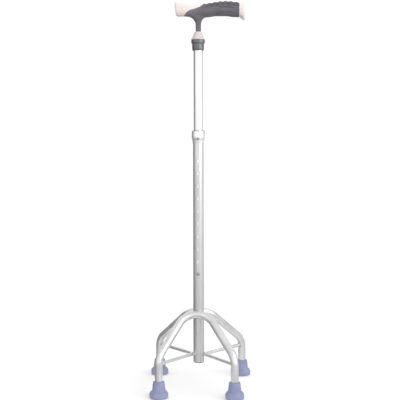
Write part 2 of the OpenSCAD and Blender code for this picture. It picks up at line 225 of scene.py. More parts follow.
def hollow_sweep(path, up, r_out, r_in):
    """A bent tube with a real bore, its outer rims rounded."""
    sides = TUBE_SIDES
    outer = [across(p, d, up, r_out, sides) for p, d in path]
    inner = [across(p, d, up, r_in, sides) for p, d in path]
    p0, d0 = path[0]
    p1, d1 = path[-1]
    outer[0] = across(p0 + d0 * RIM_ROUND, d0, up, r_out, sides)
    outer[-1] = across(p1 - d1 * RIM_ROUND, d1, up, r_out, sides)
    rings = [across(p0, d0, up, r_out - RIM_ROUND, sides)]
    rings.append(across(p0 + d0 * RIM_STEP, d0, up, r_out - RIM_STEP, sides))
    rings += outer
    rings.append(across(p1 - d1 * RIM_STEP, d1, up, r_out - RIM_STEP, sides))
    rings.append(across(p1, d1, up, r_out - RIM_ROUND, sides))
    rings += inner[::-1]
    verts = [p for r in rings for p in r]
    faces = [f[::-1] for f in ring_faces(len(rings), sides)]
    last = (len(rings) - 1) * sides
    faces += [(i, (i + 1) % sides, last + (i + 1) % sides, last + i) for i in range(sides)]
    return verts, faces


def rod_sweep(path, up, r):
    return loft([across(p, d, up, r, ROD_SIDES) for p, d in path])


# ------------------------------------------------------------------ materials
class Shader:
    """A small helper for building a material's nodes."""

    def __init__(self, name, **sockets):
        self.mat = bpy.data.materials.new(name)
        self.mat.use_nodes = True
        self.tree = self.mat.node_tree
        self.bsdf = next(n for n in self.tree.nodes if n.type == "BSDF_PRINCIPLED")
        for key, value in sockets.items():
            self.bsdf.inputs[key.replace("_", " ")].default_value = value

    def feed(self, socket, source):
        """A number or tuple sets the socket, and a node's output is linked to it."""
        if isinstance(source, (int, float, tuple)):
            socket.default_value = source
        else:
            self.tree.links.new(source, socket)

    def node(self, kind, **sources):
        n = self.tree.nodes.new(kind)
        for key, source in sources.items():
            self.feed(n.inputs[key.replace("_", " ")], source)
        return n

    def to(self, socket, source):
        self.tree.links.new(source, self.bsdf.inputs[socket])

    def place(self):
        """Object coordinates, which are the frame's own metres."""
        return self.node("ShaderNodeTexCoord").outputs["Object"]

    def at(self, scale=(1, 1, 1), offset=(0, 0, 0)):
        mapping = self.node("ShaderNodeMapping", Vector=self.place(), Scale=scale, Location=offset)
        return mapping.outputs["Vector"]

    def noise(self, scale, detail, rough, stretch=(1, 1, 1), offset=(0, 0, 0), distort=0.0):
        vector = self.at(stretch, offset)
        texture = self.node("ShaderNodeTexNoise", Vector=vector, Scale=scale, Detail=detail,
                            Roughness=rough, Distortion=distort)
        return texture.outputs["Fac"]

    def voronoi(self, scale):
        return self.node("ShaderNodeTexVoronoi", Vector=self.at(), Scale=scale).outputs["Distance"]

    def ramp(self, fac, low, high, a=0.0, b=1.0):
        """Maps fac from low..high to a..b, clamped."""
        ranges = {"From_Min": low, "From_Max": high, "To_Min": a, "To_Max": b}
        return self.node("ShaderNodeMapRange", Value=fac, **ranges).outputs["Result"]

    def mix(self, fac, a, b):
        """Fades from colour a to colour b. The node's sockets 6 and 7 are its two colours."""
        n = self.tree.nodes.new("ShaderNodeMix")
        n.data_type = "RGBA"
        for number, source in ((0, fac), (6, a), (7, b)):
            self.feed(n.inputs[number], (*source, 1) if isinstance(source, tuple) else source)
        return n.outputs[2]

    def math(self, op, a, b, clamp=False):
        n = self.tree.nodes.new("ShaderNodeMath")
        n.operation = op
        n.use_clamp = clamp
        self.feed(n.inputs[0], a)
        self.feed(n.inputs[1], b)
        return n.outputs[0]

    def attr(self, name):
        n = self.node("ShaderNodeAttribute")
        n.attribute_name = name
        return n.outputs["Fac"]

    def axis(self, which):
        return self.node("ShaderNodeSeparateXYZ", Vector=self.place()).outputs[which]

    def bump(self, height, distance, strength, after=None):
        """A bump on the surface, or on top of the bump given as after."""
        n = self.node("ShaderNodeBump", Height=height, Distance=distance, Strength=strength)
        if after is not None:
            self.tree.links.new(after, n.inputs["Normal"])
        self.to("Normal", n.outputs["Normal"])
        return n.outputs["Normal"]


def drawn_aluminium(name, light, dark, rough, scuffs=0.35, relief=0.5):
    """Drawn tube: fine die lines along Z, cloudy oxide, a few scuffs."""
    s = Shader(name, Metallic=1.0)
    lines = s.noise(1.0, 5, 0.6, stretch=(2600, 2600, 9))
    cloud = s.noise(1.0, 3, 0.5, stretch=(70, 70, 18), offset=(3, 1, 7))
    scuff = s.noise(1.0, 6, 0.7, stretch=(900, 900, 60), offset=(9, 4, 2), distort=0.6)
    scuffed = s.math("MULTIPLY", s.ramp(scuff, 0.66, 0.76), scuffs)
    tone = s.math("ADD", s.math("MULTIPLY", lines, 0.35), s.math("MULTIPLY", cloud, 0.65))
    colour = s.mix(s.ramp(tone, 0.35, 0.65), dark, light)
    s.to("Base Color", s.mix(scuffed, colour, (0.9, 0.9, 0.9)))
    s.to("Roughness", s.ramp(s.math("ADD", lines, scuffed), 0.3, 1.1, rough, rough + 0.16))
    s.bump(lines, 0.00002, relief)
    return s.mat


def satin_steel(name, light, dark, rough):
    """Plated steel: an even satin with faint clouding, small pits and handling marks."""
    s = Shader(name, Metallic=1.0)
    grain = 420
    cloud = s.noise(38, 4, 0.55, offset=(0.3, 0.1, 0.7))
    fine = s.noise(grain * 3, 3, 0.6)
    marks = s.ramp(s.noise(1.0, 8, 0.72, stretch=(120, 240, 160), distort=1.2), 0.62, 0.72)
    pits = s.ramp(s.voronoi(grain), 0.0, 0.16, 1.0, 0.0)
    colour = s.mix(s.ramp(cloud, 0.35, 0.65), dark, light)
    colour = s.mix(s.math("MULTIPLY", pits, 0.25), colour, (0.32, 0.31, 0.3))
    s.to("Base Color", colour)
    base = s.ramp(cloud, 0.3, 0.7, rough, rough + 0.08)
    s.to("Roughness", s.math("ADD", base, s.math("MULTIPLY", marks, 0.06)))
    first = s.bump(fine, 0.00002, 0.35)
    s.bump(pits, -0.00003, 0.4, after=first)
    return s.mat


def rubber(name, colour, deep, dusty):
    """Moulded rubber foot: fine pebble, faint clouding, a little floor dust low down."""
    s = Shader(name, Specular_IOR_Level=0.4)
    pebble = s.noise(2400, 3, 0.6)
    cloud = s.noise(60, 4, 0.6)
    low_down = s.ramp(s.axis("Z"), 0.0, 0.010, 1.0, 0.0)
    dust = s.math("MULTIPLY", low_down, s.ramp(s.noise(300, 6, 0.65), 0.4, 0.7))
    tone = s.mix(s.ramp(cloud, 0.35, 0.65), deep, colour)
    tone = s.mix(s.math("MULTIPLY", dust, 0.45), tone, dusty)
    s.to("Base Color", tone)
    s.to("Roughness", s.ramp(pebble, 0.3, 0.7, 0.42, 0.62))
    s.bump(pebble, 0.00006, 0.5)
    return s.mat


def grip_material(name):
    """Soft dark grip: leathery grain, rubbed ridge tops, painted shade in the furrows, the side grooves and
    along the crown, paler towards the palm end.
    """
    s = Shader(name, Specular_IOR_Level=0.35)
    grain = s.voronoi(1500)
    cloud = s.noise(45, 4, 0.6)
    wear = s.attr("wear")
    tone = s.mix(s.ramp(cloud, 0.35, 0.65), (0.1, 0.094, 0.105), (0.14, 0.133, 0.148))
    # painted shade: darker in the furrows, the side grooves and a band along the crown
    tone = s.mix(s.math("MULTIPLY", s.attr("painted_shade"), 1.0, clamp=True), tone, (0.04, 0.038, 0.044))
    tone = s.mix(s.math("MULTIPLY", wear, 0.15, clamp=True), tone, (0.23, 0.22, 0.24))
    # paler towards the palm end, more so higher up
    palm_side = s.ramp(s.axis("X"), -0.02, 0.03, 0.8, 0.0)
    palm = s.math("MULTIPLY", palm_side, s.ramp(s.axis("Z"), 0.742, 0.752, 0.6, 1.0))
    tone = s.mix(palm, tone, (0.2, 0.19, 0.208))
    s.to("Base Color", tone)
    matt = s.ramp(grain, 0.0, 0.6, 0.58, 0.44)
    s.to("Roughness", s.math("SUBTRACT", matt, s.math("MULTIPLY", wear, 0.1)))
    fine = s.bump(s.noise(3800, 2, 0.5), 0.00003, 0.5)
    s.bump(grain, 0.00008, 0.55, after=fine)
    return s.mat


def cream_plastic(name, pale, warm):
    """Smooth moulded plastic, faintly mottled, with soft scatter and hairline scratches."""
    s = Shader(name, Specular_IOR_Level=0.5, Subsurface_Weight=0.12, Subsurface_Scale=0.004,
               Subsurface_Radius=(1.0, 0.6, 0.4))
    cloud = s.noise(30, 3, 0.5)
    speck = s.ramp(s.voronoi(900), 0.0, 0.09, 1.0, 0.0)
    scratch = s.ramp(s.noise(1.0, 8, 0.7, stretch=(60, 500, 900), distort=0.8), 0.62, 0.7)
    tone = s.mix(s.ramp(cloud, 0.35, 0.65), warm, pale)
    tone = s.mix(s.math("MULTIPLY", speck, 0.12), tone, (0.6, 0.45, 0.35))
    s.to("Base Color", tone)
    base = s.ramp(cloud, 0.3, 0.7, 0.3, 0.38)
    s.to("Roughness", s.math("ADD", base, s.math("MULTIPLY", scratch, 0.12)))
    s.bump(s.noise(700, 3, 0.5), 0.00003, 0.35)
    return s.mat


def black_plastic(name, low, high, rough, coat=0.0):
    """Moulded black plastic with a fine grain. A coat makes it glossier."""
    s = Shader(name, Specular_IOR_Level=0.45 + coat, Coat_Weight=coat, Coat_Roughness=0.12)
    grain = s.noise(1900, 3, 0.6)
    cloud = s.noise(80, 4, 0.6)
    s.to("Base Color", s.mix(s.ramp(cloud, 0.35, 0.65), low, high))
    s.to("Roughness", s.ramp(grain, 0.3, 0.7, rough, rough + 0.14))
    s.bump(grain, 0.00005, 0.45)
    return s.mat


def hardware_steel(name, tone=(0.56, 0.56, 0.57)):
    """Plain steel of screws and pins, with fine turning lines."""
    s = Shader(name, Metallic=1.0)
    turned = s.noise(1.0, 4, 0.6, stretch=(400, 5200, 400))
    cloud = s.noise(180, 4, 0.6)
    s.to("Base Color", s.mix(s.ramp(cloud, 0.35, 0.65), tuple(c * 0.8 for c in tone), tone))
    s.to("Roughness", s.ramp(turned, 0.3, 0.7, 0.26, 0.42))
    s.bump(turned, 0.00002, 0.4)
    return s.mat


def weld_material(name):
    """Weld metal, a little darker where the heat was."""
    s = Shader(name, Metallic=1.0)
    heat = s.noise(120, 4, 0.6)
    s.to("Base Color", s.mix(s.ramp(heat, 0.35, 0.65), (0.5, 0.49, 0.48), (0.74, 0.74, 0.75)))
    s.to("Roughness", s.ramp(heat, 0.3, 0.7, 0.34, 0.5))
    s.bump(s.noise(1600, 4, 0.6), 0.00008, 0.5)
    return s.mat


LOWER_METAL = drawn_aluminium("lower_tube_metal", (0.68, 0.675, 0.68), (0.59, 0.585, 0.59), 0.25)
UPPER_METAL = drawn_aluminium("upper_tube_metal", (0.81, 0.805, 0.81), (0.74, 0.735, 0.74), 0.22, 0.1, 0.25)
COLLAR_METAL = satin_steel("collar_metal", (0.88, 0.87, 0.875), (0.8, 0.79, 0.795), 0.28)
FRAME_METAL = satin_steel("frame_metal", (0.7, 0.695, 0.7), (0.63, 0.625, 0.635), 0.32)
SCREW_METAL = hardware_steel("screw_metal")
BRIGHT_SCREW = hardware_steel("bright_screw", (0.93, 0.92, 0.91))
DARK_SCREW = hardware_steel("dark_screw", (0.24, 0.24, 0.245))
# the snap button's steel is darker than the screws': its own tone, and painted shade round the button
BUTTON_METAL = hardware_steel("button_metal", (0.4, 0.4, 0.405))
WELD_METAL = weld_material("weld_metal")
FOOT_RUBBER = rubber("foot_rubber", (0.25, 0.275, 0.42), (0.21, 0.225, 0.36), (0.36, 0.36, 0.42))
GRIP = grip_material("grip_dark")
CREAM = cream_plastic("handle_cream", (0.82, 0.728, 0.693), (0.79, 0.693, 0.655))
CONE_CREAM = cream_plastic("cone_cream", (0.65, 0.59, 0.58), (0.62, 0.56, 0.55))
CAP_CREAM = cream_plastic("cap_cream", (0.74, 0.67, 0.67), (0.71, 0.635, 0.63))
NECK_BLACK = black_plastic("neck_black", (0.062, 0.06, 0.068), (0.086, 0.083, 0.092), 0.16, 0.5)
BUSH_BLACK = black_plastic("bush_black", (0.1, 0.1, 0.105), (0.14, 0.14, 0.145), 0.4)


def finish_piece(obj, body, node):
    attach(obj, body)
    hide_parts(node)


def dress(node, material):
    """A carried-over CAD node keeps its shape and gets a real material."""
    obj = NODES[node]
    obj.data.materials.clear()
    obj.data.materials.append(material)


# ------------------------------------------------------------------ base
LEG_R = 7.75 * MM
LEG_WALL = 1.2 * MM
ROD_R = 3.5 * MM
KNEE_R = 32 * MM
CROWN_R = 38 * MM
HOOP_TOP_Z = 150.3 * MM
ROD_BEND_R = 12 * MM
POLE_R = float(hi("lower_tube")[0])
HOOP_SINK = 0.6 * MM        # how far a hoop's crown lies inside the pole's outline
HOOP_Y = POLE_R + LEG_R - HOOP_SINK
FRONT, REAR, LEFT, RIGHT = -1, 1, -1, 1


def top_corner(top, knee, r):
    """Where a hoop's two sides would meet, so that a bend of radius r there passes through top."""
    w = np.array([0, knee[1] - top[1], knee[2] - top[2]])
    kw = np.linalg.norm(w)
    w = w / kw
    kx = knee[0]
    half = math.acos(r / math.hypot(kx, kw - r)) - math.atan2(kw - r, kx)
    return np.asarray(top) - w * (r / math.sin(half) - r)


def make_hoop(name, side, knee_z, crown_left, foot):
    """Leg up, over the crown at the pole and down again, through the feet."""
    half_x, foot_y = -mid(foot)[0], mid(foot)[1]
    knee = np.array([half_x, foot_y, knee_z])
    crown = top_corner(np.array([0, side * HOOP_Y, HOOP_TOP_Z]), knee, CROWN_R)
    crown = crown - np.array([crown_left, 0, 0])
    low = float(lo(name)[2])
    points = [(-half_x, foot_y, low), (-half_x, foot_y, knee_z), crown, knee, (half_x, foot_y, low)]
    path = stations(points, [KNEE_R, CROWN_R, KNEE_R])
    verts, faces = hollow_sweep(path, (0, side, 1), LEG_R, LEG_R - LEG_WALL)
    obj = mesh_object(name + "_tube", verts, faces, FRAME_METAL)
    finish_piece(obj, "lower", name)


make_hoop("leg_hoop_front", FRONT, 79 * MM, 5 * MM, "foot_front_left")
make_hoop("leg_hoop_rear", REAR, 77 * MM, 0.0, "foot_rear_left")

BEAD_RIPPLE = 0.16
BEAD_LIFT = 0.5 * MM        # a bead's centre line stands this far out from the pole


def bead(points, radius, count=22, sides=10):
    """A closed weld bead through a ring of points, with count ripples round it."""
    n = len(points)
    rings = []
    centre = np.mean(points, axis=0)
    for k in range(n):
        p = points[k]
        d = unit(points[(k + 1) % n] - points[k - 1])
        out = unit((p - centre) - d * float((p - centre) @ d))
        up = np.cross(d, out)
        swell = radius * (1 + BEAD_RIPPLE * math.sin(2 * math.pi * count * k / n))
        rings.append([p + swell * (out * math.cos(t) + up * math.sin(t)) for t in turns(sides)])
    verts = [v for r in rings for v in r]
    faces = []
    for k in range(n):
        a, b = k * sides, ((k + 1) % n) * sides
        faces += [(a + i, a + (i + 1) % sides, b + (i + 1) % sides, b + i) for i in range(sides)]
    return verts, faces


def join_parts(parts):
    verts, faces = [], []
    for v, f in parts:
        base = len(verts)
        verts += list(v)
        faces += [tuple(i + base for i in face) for face in f]
    return verts, faces


def pole_ellipse(half_w, half_h, z, n):
    """An ellipse wrapped on the pole, as (sideways, out from the axis, height)."""
    ring = [(half_w * math.cos(t), z + half_h * math.sin(t)) for t in turns(n)]
    return [(w, math.sqrt(POLE_R ** 2 - w * w) + BEAD_LIFT, height) for w, height in ring]


def hoop_weld(name, side):
    ring = pole_ellipse(6.2 * MM, 5.4 * MM, HOOP_TOP_Z, 96)
    v, f = bead([np.array([w, side * out, height]) for w, out, height in ring], 1.5 * MM)
    obj = mesh_object(name + "_bead", v, f, WELD_METAL, 80)
    finish_piece(obj, "lower", name)


hoop_weld("weld_hoop_front", FRONT)
hoop_weld("weld_hoop_rear", REAR)

ROD_END = LEG_R - 0.6 * MM          # a rod's ends stop inside the leg tube's wall
ROD_CLEAR = LEG_R + 1 * MM          # nearer to a leg than this, the path keeps no point but its end
END_BEAD_R = ROD_R + 0.3 * MM


def rod_end_bead(leg, way):
    """The bead where a rod that runs along way leaves the leg tube at leg."""
    x = unit(np.cross((0, 0, 1), way))
    pts = []
    for t in turns(48):
        w, dz = END_BEAD_R * math.cos(t), END_BEAD_R * math.sin(t)
        pts.append(leg + way * math.sqrt(LEG_R ** 2 - w * w) + x * w + np.array([0, 0, dz]))
    return bead(pts, 1.0 * MM, count=11, sides=8)


def make_brace(name, side, weld):
    """A rod from leg to leg, bent round the side of the pole, and its three weld beads."""
    front = mid("foot_front_right") * (side, 1, 1)
    rear = mid("foot_rear_right") * (side, 1, 1)
    z = mid(name)[2]
    a, c = np.array([front[0], front[1], z]), np.array([rear[0], rear[1], z])
    m = np.array([side * (POLE_R + ROD_R - 0.5 * MM), 0, z])
    half = math.acos(float(unit(a - m) @ unit(c - m))) / 2
    corner = m - np.array([side * ROD_BEND_R * (1 / math.sin(half) - 1), 0, 0])
    full = stations([a, corner, c], [ROD_BEND_R], 8 * MM)
    path = [(p, d) for p, d in full if min(np.linalg.norm(p - a), np.linalg.norm(p - c)) > ROD_CLEAR]
    start, end = unit(corner - a), unit(corner - c)
    first, last = (a + start * ROD_END, path[0][1]), (c + end * ROD_END, path[-1][1])
    v, f = rod_sweep([first] + path + [last], (0, 0, 1), ROD_R)
    obj = mesh_object(name + "_rod", v, f, FRAME_METAL)
    finish_piece(obj, "lower", name)
    ring = pole_ellipse(4.6 * MM, 2.7 * MM, z, 64)
    at_pole = [np.array([side * out, w, height]) for w, out, height in ring]
    beads = [bead(at_pole, 1.1 * MM, count=15, sides=8), rod_end_bead(a, start), rod_end_bead(c, end)]
    v, f = join_parts(beads)
    obj = mesh_object(weld + "_beads", v, f, WELD_METAL, 80)
    finish_piece(obj, "lower", weld)


make_brace("brace_left", LEFT, "weld_brace_left")
make_brace("brace_right", RIGHT, "weld_brace_right")


def make_foot(name):
    """A rubber tip: a ringed tread, a wide rim and a cup that tapers up the leg.
    Each corner is (radius, height, rounding) in millimetres."""
    c = mid(name)
    top = float(hi(name)[2]) / MM
    rim = float(hi(name)[0] - lo(name)[0]) / 2 / MM
    bore = (LEG_R + 0.08 * MM) / MM
    cup_floor = 8
    tread = [(0, 1, 0), (6, 1, 0.2), (6.6, 0, 0.2), (10, 0, 0.3)]
    tread += [(10.6, 1, 0.3), (12.2, 1, 0.2), (12.8, 0, 0.3)]
    side = [(rim - 0.8, 0, 2.2), (rim, 3.4, 4), (rim, 8.6, 2.6), (16.2, 12.6, 2.6)]
    cup = [(13.1, 14.2, 2.4), (12.75, 18.2, 4), (12.2, 23, 4), (11.75, 27.6, 0.8), (11.25, 28.8, 0.8)]
    inside = [(11.2, top, 1.1), (bore, top, 0.7), (bore, cup_floor, 0.3), (0, cup_floor, 0)]
    corners = [(r * MM, z * MM, rounding * MM) for r, z, rounding in tread + side + cup + inside]
    v, f = lathe(rounded(corners, 5), 80, (c[0], c[1]))
    obj = mesh_object(name + "_tip", v, f, FOOT_RUBBER, 50)
    finish_piece(obj, "lower", name)


for which in ("front_left", "front_right", "rear_left", "rear_right"):
    make_foot("foot_" + which)
    dress("foot_washer_" + which, SCREW_METAL)

# ------------------------------------------------------------------ pole
dress("lower_tube", LOWER_METAL)
dress("upper_tube", UPPER_METAL)
dress("lower_tube_plug", BUSH_BLACK)
dress("upper_tube_glide", BUSH_BLACK)
dress("snap_button", BUTTON_METAL)
dress("guide_collar_screw", DARK_SCREW)


LEAF_BEND_DROP = 12 * MM            # the front leaf bends this far below the button
LEAF_CUTS = 24
LEAF_CUT_STEP = 0.5 * MM


def make_leaf_spring():
    """The CAD spring, whose front leaf follows the button. It is cut across where it bends."""
    bm = bmesh.new()
    bm.from_mesh(NODES["snap_spring"].data)
    bmesh.ops.remove_doubles(bm, verts=bm.verts[:], dist=1e-6)
    bend_z = mid("snap_button")[2] - LEAF_BEND_DROP
    for k in range(LEAF_CUTS):
        bmesh.ops.bisect_plane(bm, geom=bm.verts[:] + bm.edges[:] + bm.faces[:], dist=1e-7,
                               plane_co=(0, 0, bend_z + (k - 1.5) * LEAF_CUT_STEP), plane_no=(0, 0, 1))
    mesh = bpy.data.meshes.new("leaf_spring")
    bm.to_mesh(mesh)
    bm.free()
    obj = bpy.data.objects.new("leaf_spring", mesh)
    bpy.context.scene.collection.objects.link(obj)
    mesh.materials.clear()
    mesh.materials.append(SCREW_METAL)
    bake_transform(obj)
    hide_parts("snap_spring")


make_leaf_spring()


def make_collar():
    """A cylinder with a taper below, bored for the lower tube and, above that, for the bush."""
    z0, z1 = float(lo("guide_collar")[2]), float(hi("guide_collar")[2])
    r = float(hi("guide_collar")[0])
    tube = POLE_R + 0.03 * MM
    tube_top = float(hi("lower_tube")[2])
    bush = 12.3 * MM
    taper = [(POLE_R + 0.7 * MM, z0, 0.3 * MM), (POLE_R + 1.0 * MM, z0 + 4 * MM, 5 * MM)]
    taper += [(r - 0.5 * MM, z0 + 9 * MM, 5 * MM), (r, z0 + 11 * MM, 2 * MM)]
    bore = [(bush, z1, 0.2 * MM), (bush, tube_top, 0.1 * MM), (tube, tube_top, 0.1 * MM)]
    v, f = lathe(rounded([(tube, z0, 0.1 * MM)] + taper + [(r, z1, 0.7 * MM)] + bore, 5))
    obj = mesh_object("guide_collar_body", v, f, COLLAR_METAL)
    finish_piece(obj, "lower", "guide_collar")


make_collar()


def make_bush():
    """A plastic bush in the collar, with a flange on the collar's top."""
    z0, z1 = float(lo("guide_bush")[2]), float(hi("guide_bush")[2])
    r = float(hi("guide_bush")[0])
    bore = 9.58 * MM
    neck = 12.2 * MM
    seat = float(hi("guide_collar")[2])
    corners = [(bore, z0, 0.3 * MM), (neck, z0, 0.3 * MM), (neck, seat, 0.05 * MM)]
    corners += [(r, seat, 0.1 * MM), (r, z1, 0.45 * MM), (bore, z1, 0.5 * MM)]
    v, f = lathe(rounded(corners, 4))
    obj = mesh_object("guide_bush_ring", v, f, BUSH_BLACK)
    finish_piece(obj, "lower", "guide_bush")


make_bush()


# ------------------------------------------------------------------ neck
NECK_TUBE_BORE = 9.55 * MM
CORE_BORE = 4.05 * MM


def make_neck_collar():
    """A dark sleeve over the upper tube's top, with a wider flange above a step."""
    z0, z1 = float(lo("neck_collar")[2]), float(hi("neck_collar")[2])
    flange = 14.1 * MM
    body = 12.1 * MM
    step = z0 + 14.4 * MM
    seat = float(hi("upper_tube")[2])
    foot = [(NECK_TUBE_BORE, z0, 0.2 * MM), (body - 0.4 * MM, z0, 0.5 * MM)]
    foot += [(body - 0.25 * MM, z0 + 2.2 * MM, 0.6 * MM), (body, z0 + 3.0 * MM, 0.6 * MM)]
    head = [(body + 0.2 * MM, step - 1.0 * MM, 1.2 * MM), (flange, step + 0.8 * MM, 0.9 * MM)]
    head += [(flange, z1, 0.8 * MM), (CORE_BORE, z1, 0.1 * MM)]
    bore = [(CORE_BORE, seat, 0.1 * MM), (NECK_TUBE_BORE, seat, 0.1 * MM)]
    v, f = lathe(rounded(foot + head + bore, 5))
    obj = mesh_object("neck_collar_shell", v, f, NECK_BLACK)
    finish_piece(obj, "upper", "neck_collar")


def make_neck_cone():
    """The cream cone between the dark collar and the stem."""
    z0, z1 = float(hi("neck_collar")[2]), float(hi("neck_cone")[2])
    corners = [(CORE_BORE, z0, 0.1 * MM), (13.7 * MM, z0, 0.5 * MM), (14.0 * MM, z0 + 1.0 * MM, 1.4 * MM)]
    corners += [(12.2 * MM, z0 + 4.2 * MM, 6 * MM), (8.0 * MM, z1 - 2.4 * MM, 5 * MM)]
    corners += [(7.0 * MM, z1, 0.9 * MM), (CORE_BORE, z1, 0.1 * MM)]
    v, f = lathe(rounded(corners, 6))
    obj = mesh_object("neck_cone_shell", v, f, CONE_CREAM)
    finish_piece(obj, "upper", "neck_cone")


make_neck_collar()
make_neck_cone()
dress("neck_plug", SCREW_METAL)
dress("neck_pin", SCREW_METAL)
dress("handle_core", SCREW_METAL)
dress("handle_side_screw", BRIGHT_SCREW)
dress("end_cap_screw", SCREW_METAL)


# ------------------------------------------------------------------ handle
X0 = float(lo("handle_palm_block")[0])
X1 = float(hi("handle_grip")[0])
X2 = float(hi("handle_end_cap")[0])
SADDLE_Z = 770.8 * MM
UNDER_Z = 745.9 * MM
HALF_W = 14.5 * MM
RIDGE_H = 1.6 * MM
RIDGE_PITCH = 10.85 * MM
RIDGE_COUNT = 7
FIRST_RIDGE_X = 11.9 * MM
STEM_X = 0.6 * MM
STEM_HALF_W = 5.4 * MM
SEAM_GAP = 0.15 * MM        # each side of the seam between palm block and grip
GROOVE_DEPTH = 1.1 * MM
STEM_TOP_Z = 755 * MM       # inside the grip
EDGE = 0.9 * MM             # how far in from an edge its rounding starts


def smooth(t):
    """Rises softly from 0 to 1."""
    t = min(1.0, max(0.0, t))
    return t * t * (3 - 2 * t)


def top_line(x):
    """The handle's top: up to the left end, a saddle at 3 mm and a low rise to the right."""
    if x < 3 * MM:
        return SADDLE_Z + 6.7 * MM * ((3 * MM - x) / (3 * MM - X0)) ** 1.6
    return SADDLE_Z + 5.3 * MM * math.sin(math.radians(90 * (x / MM - 3) / 52)) ** 2


def under_line(x):
    """The handle's underside. The rise beside the stem, of 1 mm, isn't in the CAD."""
    palm_rise = 2.1 * MM * smooth((-6 - x / MM) / 20)
    finger_rise = 2.2 * MM * math.exp(-((x / MM - 48) / 18.5) ** 4)
    stem_rise = MM * math.exp(-((x / MM - 29.5) / 9) ** 2)
    end_lip = 6.8 * MM * smooth((x - X1 + 2 * MM) / (12.5 * MM))
    return UNDER_Z + palm_rise + finger_rise + stem_rise - end_lip


def half_width(x):
    """Half the handle's width from front to back, less towards the left end."""
    return (HALF_W * (0.9 + 0.1 * math.cos(math.radians(360 * (x / MM - 45) / 190)))
            * (1 - 0.12 * smooth((-x / MM - 20) / 30)))


def ridge(x):
    """The height of the finger ridges above the top line."""
    k = (x - FIRST_RIDGE_X) / RIDGE_PITCH
    if not -0.5 < k < RIDGE_COUNT - 0.5:
        return 0.0
    return RIDGE_H * (0.5 + 0.5 * math.cos(2 * math.pi * k)) ** 0.75


def super_round(v, n):
    """A sine or cosine, bent so that a circle turns into a squarer superellipse."""
    return math.copysign(abs(v) ** (2 / n), v)


def section_point(x, angle, shrink=1.0, ridged=0.0, inset=0.0):
    """A point of the handle's outline at x, scaled by shrink or moved in by inset."""
    top, low = top_line(x), under_line(x)
    centre = (top + low) / 2
    s = super_round(math.sin(angle), 2.7)
    c = super_round(math.cos(angle), 2.7)
    up = max(0.0, math.sin(angle)) ** 1.6
    h = (top - centre) if s > 0 else (centre - low)
    z = centre + shrink * s * (h - inset) + shrink * up * ridged * ridge(x)
    lean = 1.2 * MM * (1 - s) * smooth((X0 + 22 * MM - x) / (22 * MM))
    return np.array([x + lean, c * shrink * (half_width(x) - inset), z])


def seam_x(z):
    """The seam's x at a height, from the curve that climbs from the underside to the saddle."""
    a, b, c, d = (np.array(p) * MM for p in ((-30.9, 741), (-16.6, 771.4), (-4.4, 750.2), (17.5, 778)))
    low, high = 0.0, 1.0
    for _ in range(40):
        t = (low + high) / 2
        p = (1 - t) ** 3 * a + 3 * (1 - t) ** 2 * t * b + 3 * (1 - t) * t * t * c + t ** 3 * d
        if p[1] < z:
            low = t
        else:
            high = t
    return float(p[0])


def seam_at(angle):
    """The seam's x at an angle round the section, where the height itself depends on x."""
    x = -10 * MM
    for _ in range(25):
        x = 0.5 * x + 0.5 * seam_x(section_point(x, angle)[2])
    return x


COLS = 96
ANGLES = [2 * math.pi * (i + 0.5) / COLS for i in range(COLS)]
SEAMS = [seam_at(a) for a in ANGLES]


def make_palm_block():
    """From the left end to the seam, with rounded edges at both."""
    rings = []
    # the left end: a faintly domed face, then a rounded edge
    for q in (0.1, 0.3, 0.5, 0.65):
        rings.append([section_point(X0 + 0.5 * MM * q * q, a, q) for a in ANGLES])
    for k in range(11):
        t = math.pi / 2 * k / 10
        x = X0 + 0.3 * MM + 4.7 * MM * (1 - math.cos(t))
        rings.append([section_point(x, a, 0.76 + 0.24 * math.sin(t)) for a in ANGLES])
    first = X0 + 5 * MM
    rows = 44
    for k in range(1, rows + 1):
        u = k / rows
        ring = []
        for a, sx in zip(ANGLES, SEAMS):
            x = first + (sx - SEAM_GAP - first) * u
            edge = max(0.0, 1 - (sx - x) / EDGE)
            ring.append(section_point(x, a, 1, 0, 0.45 * MM * edge ** 2))
        rings.append(ring)
    rings.append([section_point(sx - 0.1 * MM, a, 1, 0, 3 * MM) for a, sx in zip(ANGLES, SEAMS)])
    v, f = loft(rings)
    obj = mesh_object("palm_block", v, f, CREAM, 50)
    finish_piece(obj, "upper", "handle_palm_block")


def hollow(z, z0, z1, reach):
    """How far, of reach, the stem's side has curved out at z on its way from z0 to z1 (millimetres)."""
    t = min(0.98, max(0.0, (z / MM - z0) / (z1 - z0)))
    return reach * MM * (1 - math.sqrt(1 - t * t))


def stem_ring(z, cols):
    """A level section of the stem, which widens into the grip."""
    left = STEM_X - STEM_HALF_W - hollow(z, 730, 748, 18)
    right = STEM_X + STEM_HALF_W + hollow(z, 731, 747, 13)
    w = (6.4 + 4.5 * smooth((z / MM - 723) / 30)) * MM
    ring = []
    for a in turns(cols):
        x = (left + right) / 2 + (right - left) / 2 * super_round(math.cos(a), 2.4)
        y = w * super_round(math.sin(a), 2.4)
        # a shallow flute runs up the front and the back of the stem
        flute = math.exp(-((x - (left + right) / 2) / (1.3 * MM)) ** 2) * smooth((744 - z / MM) / 12)
        y -= math.copysign(0.9 * MM * flute, y) if abs(y) > w * 0.5 else 0
        ring.append(np.array([x, y, z]))
    return ring


def side_groove(x, z):
    """How deep the two shallow grooves along the grip's sides are, 0 to 1."""
    height = (z - under_line(x)) / (top_line(x) - under_line(x))
    upper = math.exp(-((height - 0.57) / 0.04) ** 2)
    lower = 0.6 * math.exp(-((height - 0.22) / 0.05) ** 2)
    return (upper + lower) * smooth((x / MM - 40) / 5) * smooth((73 - x / MM) / 5)


